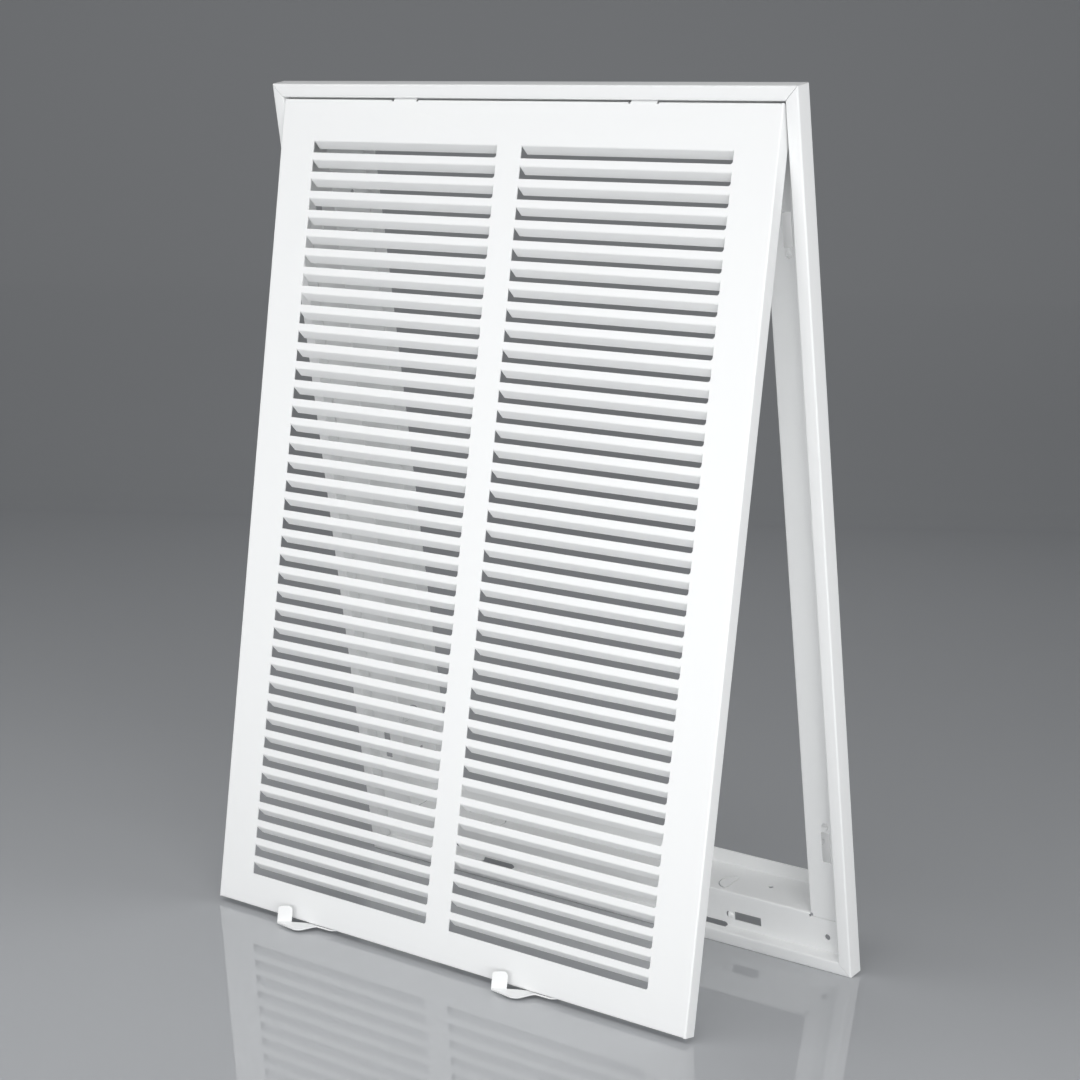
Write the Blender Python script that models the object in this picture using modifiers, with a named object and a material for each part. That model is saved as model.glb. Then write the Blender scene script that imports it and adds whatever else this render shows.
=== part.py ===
"""Return air filter grille: a louvred sheet door hinged at the top of a folded sheet frame.

It stands open like a tent, as it does on a bench. +Z is up, +X runs across the width and
the door is on the -Y side. The origin is on the floor under the middle of the object.
"""
import math

import bmesh
import bpy
from mathutils import Matrix, Vector

# Frame
FRAME_WIDTH = 0.4223
FRAME_HEIGHT = 0.5747
FRAME_LEAN = math.radians(11.2)
SHEET = 0.0007
BEND = 0.0004
WALL_DEPTH = 0.0118
RIM_WIDTH = 0.0091
STEP_DEPTH = 0.0097
COLLAR_INSET = 0.035
COLLAR_DEPTH = 0.0445
LIP_WIDTH = 0.0105
FOLD_SEGMENTS = 2
SEAM_GAP = 0.0003
LAP_EDGE = 0.033
FOLD_REMNANT = 0.0001
CUT_MARGIN = 0.0010

# Holes in the ledge, each measured from the member's end and outer edge
SCREW_HOLE_RADIUS = 0.0021
SCREW_HOLE_FROM_END = 0.0226
SCREW_HOLE_FROM_EDGE = 0.0199
RELIEF_RADIUS = 0.0010
CLIP_SLOT_FROM_END = 0.0857
CLIP_SLOT_LENGTH = 0.0214
CLIP_SLOT_HEIGHT = 0.0063
CLIP_SLOT_EDGE_LONG = 0.0195
CLIP_SLOT_EDGE_SHORT = 0.0177
LANCE_FROM_END = 0.1008
LANCE_RADIUS = 0.0024

# Holes in the collar wall, each measured from the member's end and the frame's face
COLLAR_HOLE_FROM_END = 0.0784
COLLAR_HOLE_DEPTH = 0.0290
COLLAR_HOLE_RADIUS = 0.0018
COLLAR_TAB_FROM_END = 0.1056
COLLAR_TAB_DEPTH = 0.0223
COLLAR_TAB_RADIUS = 0.0092
COLLAR_TAB_CUT = 0.0009
COLLAR_CREASE_CUT = 0.0005
COLLAR_CREASE_LENGTH = 0.0150

# Door
DOOR_SHEET = 0.0007
DOOR_BEND = 0.0004
DOOR_FLANGE = 0.0091
DOOR_SIDE_GAP = 0.0010
DOOR_TOP_GAP = 0.0013
DOOR_BOTTOM_GAP = 0.0019
CORNER_STRIP = 0.0006
DOOR_FOLD_SEGMENTS = 3

# Louvres
LOUVRE_PITCH = 0.0127
FIRST_SLIT_EDGE = 0.0354
LAST_SLIT_MARGIN = 0.0220
SLIT_HEIGHT = 0.0085
SLIT_SIDE_MARGIN = 0.0310
MULLION_WIDTH = 0.0198
BLADE_SEGMENTS = 4
BLADE_START_ANGLE = math.radians(24.0)
BLADE_END_ANGLE = math.radians(84.0)
BLADE_END_GAP = 0.0004

# Hinge tabs
HINGE_TAB_FROM_LEFT = 0.11965
HINGE_TAB_FROM_RIGHT = 0.11015
HINGE_TAB_WIDTH = 0.0195
HINGE_TAB_GAP = 0.0019
HINGE_TAB_REACH = 0.0056
HINGE_TAB_SETBACK = 0.0010
HINGE_JOG_LENGTH = 0.0017
HINGE_AXIS_DROP = 0.0003
HINGE_SLOT_FRONT = 0.00078
HINGE_SLOT_BACK = 0.0086

# Latches
LATCH_FROM_SIDE = 0.11565
LATCH_SLOT_FROM_SIDE = 0.11715
LATCH_SLOT_LENGTH = 0.0290
LATCH_SLOT_LOW = 0.0067
LATCH_SLOT_HIGH = 0.0113
LATCH_SLOT_FRONT = 0.0068
LATCH_PIVOT_DEPTH = 0.0046
LEVER_SHEET = 0.0010
LEVER_GAP = 0.0003
LEVER_EYE_RADIUS = 0.0046
LEVER_EYE_RIGHT = (-40, 50)
LEVER_EYE_LEFT = (120, 165)
LEVER_SHOULDER_RISE = 0.0010
LEVER_LEG_LEFT = 0.0174
LEVER_LEG_RIGHT = 0.0044
LEVER_REACH_FRONT = 0.0146
LEVER_REACH_LEFT = 0.0370
LEVER_CORNER_RADIUS = 0.0050
LEVER_BEND_LINE = 0.0051
LEVER_DROP = 0.0038
FINGER_WIDTH = 0.0088
FINGER_ANGLE = math.radians(44.0)
FINGER_HEIGHT = 0.0103
FINGER_CORNER_RADIUS = 0.0035
CORNER_CHORD = 0.3
TONGUE_LENGTH = 0.0180
TONGUE_HALF_WIDTH = 0.0020
HOOK_LENGTH = 0.0035
HOOK_REACH = 0.0045
ARC_SEGMENTS = 5

# Rivets
RIVET_RADIUS = 0.0016
RIVET_CLEARANCE = 0.0003
RIVET_HEAD_RADIUS = 0.0031
RIVET_HEAD_HEIGHT = 0.0011
RIVET_HEAD_STEPS = 3
RIVET_FLARE = 0.0010
RIVET_FLARE_HEIGHT = 0.0005
ROUND_CUTTER_DEPTH = 0.0060
ROUND_SEGMENTS = 24
SMALL = 0.000001
MERGE_DISTANCE = 0.00001
DECIMALS = 6

# Baked enamel: linear colour and roughness
FRAME_ENAMEL = ((0.86, 0.87, 0.88), 0.38)
DOOR_ENAMEL = ((0.88, 0.88, 0.89), 0.38)
LEVER_ENAMEL = ((0.84, 0.85, 0.86), 0.35)
RIVET_ENAMEL = ((0.82, 0.83, 0.84), 0.40)

# Sizes that follow from those above
DOOR_WIDTH = FRAME_WIDTH - 2 * (RIM_WIDTH + DOOR_SIDE_GAP)
DOOR_HEIGHT = FRAME_HEIGHT - 2 * RIM_WIDTH - DOOR_TOP_GAP - DOOR_BOTTOM_GAP
DOOR_FOLD_RADIUS = DOOR_BEND + DOOR_SHEET
LOUVRE_COUNT = 1 + int((DOOR_HEIGHT - FIRST_SLIT_EDGE - LAST_SLIT_MARGIN) / LOUVRE_PITCH)
HALF_WIDTH = FRAME_WIDTH / 2
HINGE_TAB_CENTRES = (HINGE_TAB_FROM_LEFT - HALF_WIDTH, HALF_WIDTH - HINGE_TAB_FROM_RIGHT)
LATCH_CENTRES = (LATCH_FROM_SIDE - HALF_WIDTH, HALF_WIDTH - LATCH_FROM_SIDE)
LATCH_SLOT_CENTRES = (LATCH_SLOT_FROM_SIDE - HALF_WIDTH, HALF_WIDTH - LATCH_SLOT_FROM_SIDE)
HINGE_AXIS_DEPTH = HINGE_TAB_SETBACK + DOOR_SHEET / 2
HINGE_AXIS_FROM_TOP = RIM_WIDTH + DOOR_TOP_GAP + HINGE_AXIS_DROP
LEVER_TOP = HINGE_AXIS_DROP - DOOR_HEIGHT - LEVER_GAP
LEVER_SLOPE = math.asin(LEVER_DROP / (LEVER_REACH_FRONT - LEVER_BEND_LINE))


def hinge_height():
    """Height of the hinge axis over the floor, with the frame on its bottom front edge."""
    up = (FRAME_HEIGHT - HINGE_AXIS_FROM_TOP) * math.cos(FRAME_LEAN)
    rounding = (BEND + SHEET) * (math.sin(FRAME_LEAN) + math.cos(FRAME_LEAN) - 1.0)
    return up + HINGE_AXIS_DEPTH * math.sin(FRAME_LEAN) - rounding


def door_lean():
    """Angle at which the door's latch levers come down on the floor."""
    forward = HINGE_AXIS_DEPTH + LEVER_BEND_LINE - LATCH_PIVOT_DEPTH
    forward += (LEVER_REACH_FRONT - LEVER_BEND_LINE) * math.cos(LEVER_SLOPE)
    forward += LEVER_SHEET * math.sin(LEVER_SLOPE)
    down = LEVER_DROP + LEVER_SHEET * math.cos(LEVER_SLOPE) - LEVER_TOP
    reach = math.hypot(forward, down)
    return math.acos(hinge_height() / reach) - math.atan2(forward, down)


def start_scene():
    """Empty the scene and make the collections for the parts and the cutters."""
    for old in list(bpy.data.objects):
        bpy.data.objects.remove(old, do_unlink=True)
    collections = []
    for name in ("return_air_filter_grille", "cutters"):
        collection = bpy.data.collections.new(name)
        bpy.context.scene.collection.children.link(collection)
        collections.append(collection)
    return collections


def make_material(name, colour, roughness):
    """A plain Principled material."""
    material = bpy.data.materials.new(name)
    material.use_nodes = True
    shader = material.node_tree.nodes["Principled BSDF"]
    shader.inputs["Base Color"].default_value = (*colour, 1.0)
    shader.inputs["Roughness"].default_value = roughness
    return material


def make_object(name, bm, collection, material=None, parent=None):
    """Turn a bmesh into an object in a collection."""
    mesh = bpy.data.meshes.new(name)
    bm.to_mesh(mesh)
    bm.free()
    obj = bpy.data.objects.new(name, mesh)
    collection.objects.link(obj)
    obj.parent = parent
    if material:
        mesh.materials.append(material)
    return obj


def make_empty(name, collection, location, lean):
    """An empty that carries pieces at a place and a lean about the X axis."""
    empty = bpy.data.objects.new(name, None)
    collection.objects.link(empty)
    empty.location = location
    empty.rotation_euler = (lean, 0.0, 0.0)
    return empty


def thicken(obj, thickness):
    """Give an open sheet its thickness behind its visible side, as a closed mesh."""
    solidify = obj.modifiers.new("thickness", "SOLIDIFY")
    solidify.thickness = thickness
    solidify.offset = -1.0
    solidify.use_even_offset = True
    graph = bpy.context.evaluated_depsgraph_get()
    solid = bpy.data.meshes.new_from_object(obj.evaluated_get(graph))
    obj.modifiers.remove(solidify)
    open_sheet = obj.data
    obj.data = solid
    bpy.data.meshes.remove(open_sheet)


def make_cutter(name, bm, owner, cutters):
    """Hide a cutter and subtract it from its owner."""
    bmesh.ops.recalc_face_normals(bm, faces=bm.faces)
    cutter = make_object(name, bm, cutters, parent=owner.parent)
    cutter.location = owner.location
    cutter.rotation_euler = owner.rotation_euler
    cutter.hide_render = True
    cutter.display_type = "WIRE"
    boolean = owner.modifiers.new(name, "BOOLEAN")
    boolean.operation = "DIFFERENCE"
    boolean.solver = "EXACT"
    boolean.object = cutter
    return cutter


def add_prism(bm, outline, front, back):
    """A closed prism: an outline in the X-Z plane, drawn from one Y to another."""
    face = bm.faces.new([bm.verts.new((x, front, z)) for x, z in outline])
    moved = bmesh.ops.extrude_face_region(bm, geom=[face])["geom"]
    verts = [item for item in moved if isinstance(item, bmesh.types.BMVert)]
    bmesh.ops.translate(bm, verts=verts, vec=(0.0, back - front, 0.0))


def arc(centre, radius, start, end, segments):
    """Points along a circular arc; the angles are in degrees."""
    points = []
    for step in range(segments + 1):
        angle = math.radians(start + (end - start) * step / segments)
        x = centre[0] + radius * math.cos(angle)
        points.append((x, centre[1] + radius * math.sin(angle)))
    return points


def rectangle(x_low, x_high, z_low, z_high):
    """A rectangular outline."""
    return [(x_low, z_low), (x_high, z_low), (x_high, z_high), (x_low, z_high)]


def stadium(x, z_low, z_high, length):
    """An outline with two straight sides and round ends."""
    radius = (z_high - z_low) / 2
    middle = (z_low + z_high) / 2
    half = length / 2 - radius
    right = arc((x + half, middle), radius, -90, 90, ARC_SEGMENTS)
    left = arc((x - half, middle), radius, 90, 270, ARC_SEGMENTS)
    return right + left


def rounded_path(corners, radii, segments):
    """A polyline with its inner corners replaced by arcs."""
    points = [corners[0]]
    for before, corner, after, radius in zip(corners, corners[1:], corners[2:], radii):
        into = (Vector(before) - Vector(corner)).normalized()
        out = (Vector(after) - Vector(corner)).normalized()
        centre = Vector(corner) + (into + out) * radius
        first = (-out).normalized()
        last = (-into).normalized()
        for step in range(segments + 1):
            turn = math.pi / 2 * step / segments
            spot = centre + first * radius * math.cos(turn) + last * radius * math.sin(turn)
            points.append(tuple(spot))
    points.append(corners[-1])
    return points


def member_profile():
    """Visible side of the folded frame section, as distance inward and depth behind the face."""
    outer = BEND + SHEET
    corners = [
        (0.0, WALL_DEPTH),
        (0.0, 0.0),
        (RIM_WIDTH, 0.0),
        (RIM_WIDTH, STEP_DEPTH),
        (COLLAR_INSET, STEP_DEPTH),
        (COLLAR_INSET, COLLAR_DEPTH),
        (COLLAR_INSET + LIP_WIDTH, COLLAR_DEPTH),
    ]
    return rounded_path(corners, (outer, outer, BEND, outer, BEND), FOLD_SEGMENTS)


def make_member(name, length, turn, place, parts, material, parent):
    """One folded frame side: X along it, Z inward from its outer edge, mitred at its ends."""
    bm = bmesh.new()
    verts = [bm.verts.new((-length / 2, w, a)) for a, w in member_profile()]
    edges = [bm.edges.new(pair) for pair in zip(verts, verts[1:])]
    moved = bmesh.ops.extrude_edge_only(bm, edges=edges)["geom"]
    far = [item for item in moved if isinstance(item, bmesh.types.BMVert)]
    bmesh.ops.translate(bm, verts=far, vec=(length, 0.0, 0.0))
    bmesh.ops.recalc_face_normals(bm, faces=bm.faces)
    wall = min(bm.faces, key=lambda face: face.calc_center_median().z)
    if wall.normal.z > 0.0:
        bmesh.ops.reverse_faces(bm, faces=bm.faces)
    member = make_object(name, bm, parts, material, parent)
    thicken(member, SHEET)
    mitre = SEAM_GAP / math.sqrt(2)
    longest = RIM_WIDTH + FOLD_REMNANT + SEAM_GAP
    for vert in member.data.vertices:
        trim = min(vert.co.z + mitre, longest)
        vert.co.x = math.copysign(length / 2 - trim, vert.co.x)
    member.rotation_euler = (0.0, turn, 0.0)
    member.location = place
    return member


def corner_outline(start, length, end):
    """What is cut from a member's end, past the rim, so that the collar's corners are mitred."""
    mitre = SEAM_GAP / math.sqrt(2)
    past = COLLAR_INSET + LIP_WIDTH + CUT_MARGIN
    points = [(-CUT_MARGIN, start)]
    if length:
        wall = COLLAR_INSET - 2 * (SHEET + BEND)
        points += [(length, start), (length, wall), (COLLAR_INSET + mitre, wall)]
    else:
        points += [(COLLAR_INSET + mitre, start)]
    points += [(COLLAR_INSET + mitre, COLLAR_INSET), (past + mitre, past), (-CUT_MARGIN, past)]
    return [(end - math.copysign(s, end), a) for s, a in points]


def cut_member(member, length, long_member, cutters):
    """Notch a member's ends and pierce its ledge."""
    bm = bmesh.new()
    relief = bmesh.new()
    front = STEP_DEPTH - 2 * BEND
    back = COLLAR_DEPTH + SHEET + CUT_MARGIN
    through = STEP_DEPTH + SHEET + CUT_MARGIN
    slot_edge = CLIP_SLOT_EDGE_LONG if long_member else CLIP_SLOT_EDGE_SHORT
    for end in (-length / 2, length / 2):
        side = math.copysign(1.0, end)
        if long_member:
            start = RIM_WIDTH + FOLD_REMNANT
            outline = corner_outline(start, LAP_EDGE + SEAM_GAP / 2, end)
        else:
            outline = corner_outline(LAP_EDGE - SEAM_GAP / 2, 0.0, end)
            hole = (end - side * SCREW_HOLE_FROM_END, SCREW_HOLE_FROM_EDGE)
            ring = arc(hole, SCREW_HOLE_RADIUS, 0, 360, ROUND_SEGMENTS)[:-1]
            add_prism(bm, ring, front, through)
            corner = (end - side * (COLLAR_INSET + SEAM_GAP), LAP_EDGE)
            ring = arc(corner, RELIEF_RADIUS, 0, 360, ROUND_SEGMENTS)[:-1]
            add_prism(relief, ring, front, through)
        add_prism(bm, outline, front, back)
        slot = end - side * CLIP_SLOT_FROM_END
        low = slot_edge - CLIP_SLOT_HEIGHT / 2
        half = CLIP_SLOT_LENGTH / 2
        box = rectangle(slot - half, slot + half, low, low + CLIP_SLOT_HEIGHT)
        add_prism(bm, box, front, through)
        lance = (end - side * LANCE_FROM_END, slot_edge)
        away = 90 if side > 0 else -90
        bow = arc(lance, LANCE_RADIUS, away, away + 180, ARC_SEGMENTS)
        add_prism(bm, bow, front, through)
    make_cutter(member.name + "_holes", bm, member, cutters)
    make_cutter(member.name + "_collar_holes", collar_holes(length), member, cutters)
    if long_member:
        relief.free()
    else:
        make_cutter(member.name + "_relief", relief, member, cutters)


def collar_holes(length):
    """A round hole and a half-round lanced tab near each end of a member's collar wall."""
    bm = bmesh.new()
    for end in (-length / 2, length / 2):
        side = math.copysign(1.0, end)
        hole = (end - side * COLLAR_HOLE_FROM_END, COLLAR_HOLE_DEPTH)
        outlines = [arc(hole, COLLAR_HOLE_RADIUS, 0, 360, ROUND_SEGMENTS)[:-1]]
        start = 90 if side > 0 else -90
        tab = (end - side * COLLAR_TAB_FROM_END, COLLAR_TAB_DEPTH)
        outer = arc(tab, COLLAR_TAB_RADIUS, start, start + 180, 2 * ARC_SEGMENTS)
        inner = arc(tab, COLLAR_TAB_RADIUS - COLLAR_TAB_CUT, start, start + 180, 2 * ARC_SEGMENTS)
        outlines.append(outer + inner[::-1])
        x = tab[0] + side * COLLAR_TAB_CUT
        across = (x - COLLAR_CREASE_CUT / 2, x + COLLAR_CREASE_CUT / 2)
        half = COLLAR_CREASE_LENGTH / 2
        outlines.append(rectangle(*across, COLLAR_TAB_DEPTH - half, COLLAR_TAB_DEPTH + half))
        for outline in outlines:
            add_prism(bm, outline, -COLLAR_INSET - CUT_MARGIN, CUT_MARGIN + SHEET - COLLAR_INSET)
    turn = Matrix.Rotation(-math.pi / 2, 3, "X")
    bmesh.ops.rotate(bm, verts=bm.verts, cent=(0.0, 0.0, 0.0), matrix=turn)
    return bm


def make_frame(parts, cutters, material, lean):
    """The four frame sides."""
    half_height = FRAME_HEIGHT / 2
    sides = (
        ("frame_bottom", FRAME_WIDTH, 0.0, (0.0, 0.0, 0.0)),
        ("frame_top", FRAME_WIDTH, math.pi, (0.0, 0.0, FRAME_HEIGHT)),
        ("frame_right", FRAME_HEIGHT, -math.pi / 2, (HALF_WIDTH, 0.0, half_height)),
        ("frame_left", FRAME_HEIGHT, math.pi / 2, (-HALF_WIDTH, 0.0, half_height)),
    )
    members = {}
    for name, length, turn, place in sides:
        member = make_member(name, length, turn, place, parts, material, lean)
        long_member = name in ("frame_left", "frame_right")
        cut_member(member, length, long_member, cutters)
        members[name] = member
    bm = bmesh.new()
    for x in LATCH_SLOT_CENTRES:
        outline = stadium(x, LATCH_SLOT_LOW, LATCH_SLOT_HIGH, LATCH_SLOT_LENGTH)
        add_prism(bm, outline, LATCH_SLOT_FRONT, STEP_DEPTH + SHEET + CUT_MARGIN)
    make_cutter("latch_slots", bm, members["frame_bottom"], cutters)
    bm = bmesh.new()
    half = HINGE_TAB_WIDTH / 2 + HINGE_TAB_GAP
    for x in HINGE_TAB_CENTRES:
        outline = rectangle(-x - half, -x + half, RIM_WIDTH - 2 * SHEET, RIM_WIDTH + SHEET)
        add_prism(bm, outline, HINGE_SLOT_FRONT, HINGE_SLOT_BACK)
    make_cutter("hinge_slots", bm, members["frame_top"], cutters)


def slit_lines():
    """Distance of each louvre's fold and slit edge below the door's top edge."""
    lines = []
    for row in range(LOUVRE_COUNT):
        slit = FIRST_SLIT_EDGE + row * LOUVRE_PITCH
        lines += [slit - SLIT_HEIGHT, slit]
    return lines


def door_blank():
    """The flat sheet, with a window where each louvre is cut; Z is 0 at its top edge."""
    edge = DOOR_WIDTH / 2 - DOOR_FOLD_RADIUS
    slit_end = DOOR_WIDTH / 2 - SLIT_SIDE_MARGIN
    half = [MULLION_WIDTH / 2, slit_end, edge - CORNER_STRIP, edge]
    columns = [-x for x in reversed(half)] + half
    rows = [0.0, DOOR_FOLD_RADIUS] + slit_lines()
    rows += [DOOR_HEIGHT - DOOR_FOLD_RADIUS, DOOR_HEIGHT]
    bm = bmesh.new()
    across = len(columns) - 1
    down = len(rows) - 1
    bmesh.ops.create_grid(bm, x_segments=across, y_segments=down, size=1.0)
    for vert in bm.verts:
        column = round((1.0 + vert.co.x) / 2 * across)
        row = round((1.0 - vert.co.y) / 2 * down)
        vert.co = (columns[column], 0.0, -rows[row])
    windows = []
    for face in bm.faces:
        centre = face.calc_center_median()
        in_edge_row = -centre.z < DOOR_FOLD_RADIUS or -centre.z > DOOR_HEIGHT - DOOR_FOLD_RADIUS
        if in_edge_row and abs(centre.x) < edge - CORNER_STRIP:
            windows.append(face)
        elif MULLION_WIDTH / 2 < abs(centre.x) < slit_end and in_slit(-centre.z):
            windows.append(face)
    bmesh.ops.delete(bm, geom=windows, context="FACES")
    return bm


def in_slit(drop):
    """Whether a distance below the door's top edge falls in a louvre's window."""
    below_first = drop - (FIRST_SLIT_EDGE - SLIT_HEIGHT)
    if below_first < 0.0 or below_first > LOUVRE_COUNT * LOUVRE_PITCH:
        return False
    return below_first % LOUVRE_PITCH < SLIT_HEIGHT


def extrude(bm, edges, vec):
    """Draw edges out by a vector and return the new edges."""
    moved = bmesh.ops.extrude_edge_only(bm, edges=edges)["geom"]
    verts = [item for item in moved if isinstance(item, bmesh.types.BMVert)]
    bmesh.ops.translate(bm, verts=verts, vec=vec)
    kept = set(verts)
    edges = [item for item in moved if isinstance(item, bmesh.types.BMEdge)]
    return [edge for edge in edges if edge.verts[0] in kept and edge.verts[1] in kept]


def bend_blades(bm):
    """Draw each louvre blade from its fold, curving back behind the sheet."""
    folds = set(round(line, DECIMALS) for line in slit_lines()[::2])
    edges = []
    for edge in bm.edges:
        first, second = edge.verts
        levels = {round(-first.co.z, DECIMALS), round(-second.co.z, DECIMALS)}
        if levels <= folds and edge.is_boundary:
            edges.append(edge)
    step = SLIT_HEIGHT / BLADE_SEGMENTS
    for part in range(BLADE_SEGMENTS):
        share = part / (BLADE_SEGMENTS - 1)
        angle = BLADE_START_ANGLE + (BLADE_END_ANGLE - BLADE_START_ANGLE) * share
        vec = Vector((0.0, step * math.sin(angle), -step * math.cos(angle)))
        edges = extrude(bm, edges, vec)
        if part == 0:
            centre = (MULLION_WIDTH / 2 + DOOR_WIDTH / 2 - SLIT_SIDE_MARGIN) / 2
            for vert in {vert for edge in edges for vert in edge.verts}:
                inward = math.copysign(centre, vert.co.x) - vert.co.x
                vert.co.x += math.copysign(BLADE_END_GAP, inward)


def fold_flange(bm, edges, outward):
    """Turn a flange back round a small radius; outward points away from the door."""
    segments = DOOR_FOLD_SEGMENTS
    for part in range(segments):
        start = math.pi / 2 * part / segments
        end = math.pi / 2 * (part + 1) / segments
        out = DOOR_FOLD_RADIUS * (math.sin(end) - math.sin(start))
        back = DOOR_FOLD_RADIUS * (math.cos(start) - math.cos(end))
        edges = extrude(bm, edges, Vector(outward) * out + Vector((0.0, back, 0.0)))
    extrude(bm, edges, Vector((0.0, DOOR_FLANGE - DOOR_FOLD_RADIUS, 0.0)))


def boundary_between(bm, z, x_low, x_high):
    """The boundary edges at one height that lie between two distances across."""
    found = []
    for edge in bm.edges:
        first, second = edge.verts
        level = abs(first.co.z - z) < SMALL and abs(second.co.z - z) < SMALL
        left, right = sorted((first.co.x, second.co.x))
        if level and edge.is_boundary and left > x_low - SMALL and right < x_high + SMALL:
            found.append(edge)
    return found


def split_boundary(bm, z, x):
    """Put a vertex into the boundary edge that runs past a place."""
    for edge in boundary_between(bm, z, -DOOR_WIDTH, DOOR_WIDTH):
        first, second = edge.verts
        left, right = sorted((first.co.x, second.co.x))
        if left + SMALL < x < right - SMALL:
            share = (x - first.co.x) / (second.co.x - first.co.x)
            bmesh.utils.edge_split(edge, first, share)
            return


def make_door(parts, cutters, material, hinge):
    """The louvred door, folded from one sheet, with its hinge tabs."""
    bm = door_blank()
    bend_blades(bm)
    edge = DOOR_WIDTH / 2 - DOOR_FOLD_RADIUS
    end = edge - CORNER_STRIP - SEAM_GAP
    top = -DOOR_FOLD_RADIUS
    bottom = DOOR_FOLD_RADIUS - DOOR_HEIGHT
    for side in (-1.0, 1.0):
        border = [item for item in bm.edges if item.is_boundary]
        border = [item for item in border if all(abs(v.co.x - side * edge) < SMALL for v in item.verts)]
        fold_flange(bm, border, (side, 0.0, 0.0))
    stops = [-end]
    for centre in HINGE_TAB_CENTRES:
        half = HINGE_TAB_WIDTH / 2
        stops += [centre - half - HINGE_TAB_GAP, centre - half]
        stops += [centre + half, centre + half + HINGE_TAB_GAP]
    stops.append(end)
    for x in stops:
        split_boundary(bm, top, x)
    for x in (-end, end):
        split_boundary(bm, bottom, x)
    for low, high in zip(stops[0::4], stops[1::4]):
        fold_flange(bm, boundary_between(bm, top, low, high), (0.0, 0.0, 1.0))
    for low, high in zip(stops[2::4], stops[3::4]):
        tab = boundary_between(bm, top, low, high)
        jog_end = top + HINGE_JOG_LENGTH
        tab = extrude(bm, tab, Vector((0.0, HINGE_TAB_SETBACK, HINGE_JOG_LENGTH)))
        extrude(bm, tab, Vector((0.0, 0.0, HINGE_TAB_REACH - jog_end)))
    fold_flange(bm, boundary_between(bm, bottom, -end, end), (0.0, 0.0, -1.0))
    bmesh.ops.recalc_face_normals(bm, faces=bm.faces)
    if sum(face.normal.y * face.calc_area() for face in bm.faces) > 0.0:
        bmesh.ops.reverse_faces(bm, faces=bm.faces)
    place = (0.0, -HINGE_AXIS_DEPTH, HINGE_AXIS_DROP)
    bmesh.ops.translate(bm, verts=bm.verts, vec=place)
    door = make_object("door_panel", bm, parts, material, hinge)
    thicken(door, DOOR_SHEET)
    bm = bmesh.new()
    for x in LATCH_CENTRES:
        centre = (x, LATCH_PIVOT_DEPTH - HINGE_AXIS_DEPTH)
        add_round_cutter(bm, centre, LEVER_TOP, RIVET_RADIUS + RIVET_CLEARANCE)
    make_cutter("rivet_holes", bm, door, cutters)


def add_round_cutter(bm, centre, z, radius):
    """A short upright cylinder round a height."""
    place = Matrix.Translation((centre[0], centre[1], z))
    bmesh.ops.create_cone(
        bm, cap_ends=True, segments=ROUND_SEGMENTS, radius1=radius, radius2=radius,
        depth=ROUND_CUTTER_DEPTH, matrix=place)


def lever_outline():
    """Flat outline of a latch lever round its pivot: X across, Y back, finger tab included."""
    eye = arc((0.0, 0.0), LEVER_EYE_RADIUS, *LEVER_EYE_RIGHT, ARC_SEGMENTS)
    tongue = [
        (TONGUE_HALF_WIDTH, TONGUE_LENGTH),
        (-HOOK_REACH, TONGUE_LENGTH),
        (-HOOK_REACH, TONGUE_LENGTH - HOOK_LENGTH),
        (-TONGUE_HALF_WIDTH, TONGUE_LENGTH - HOOK_LENGTH),
    ]
    eye_left = arc((0.0, 0.0), LEVER_EYE_RADIUS, *LEVER_EYE_LEFT, 2)
    shoulder = LEVER_SHOULDER_RISE - LATCH_PIVOT_DEPTH
    leg = [(-LEVER_LEG_LEFT, shoulder), (-LEVER_LEG_LEFT, -LEVER_BEND_LINE)]
    fold_in, fold_out = finger_fold()
    along = Vector((fold_out - fold_in).normalized())
    away = Vector((along.y, -along.x))
    tab_in = fold_in + away * FINGER_HEIGHT
    tab_out = fold_out + away * FINGER_HEIGHT
    round_off = FINGER_CORNER_RADIUS
    finger = [tuple(fold_in), tuple(tab_in - away * round_off)]
    finger.append(tuple(tab_in + (along - away) * round_off * CORNER_CHORD))
    finger += [tuple(tab_in + along * round_off), tuple(tab_out), tuple(fold_out)]
    centre = (-LEVER_LEG_RIGHT - LEVER_CORNER_RADIUS, LEVER_CORNER_RADIUS - LEVER_REACH_FRONT)
    corner = arc(centre, LEVER_CORNER_RADIUS, -90, 0, ARC_SEGMENTS)
    throat = [(-LEVER_LEG_RIGHT, -LEVER_BEND_LINE)]
    return eye + tongue + eye_left + leg + finger + corner + throat


def finger_fold():
    """Inner and outer ends of the line where the finger tab is turned up."""
    outer = Vector((-LEVER_REACH_LEFT, -LEVER_REACH_FRONT))
    along = Vector((math.cos(FINGER_ANGLE), math.sin(FINGER_ANGLE)))
    return outer + along * FINGER_WIDTH, outer


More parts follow.
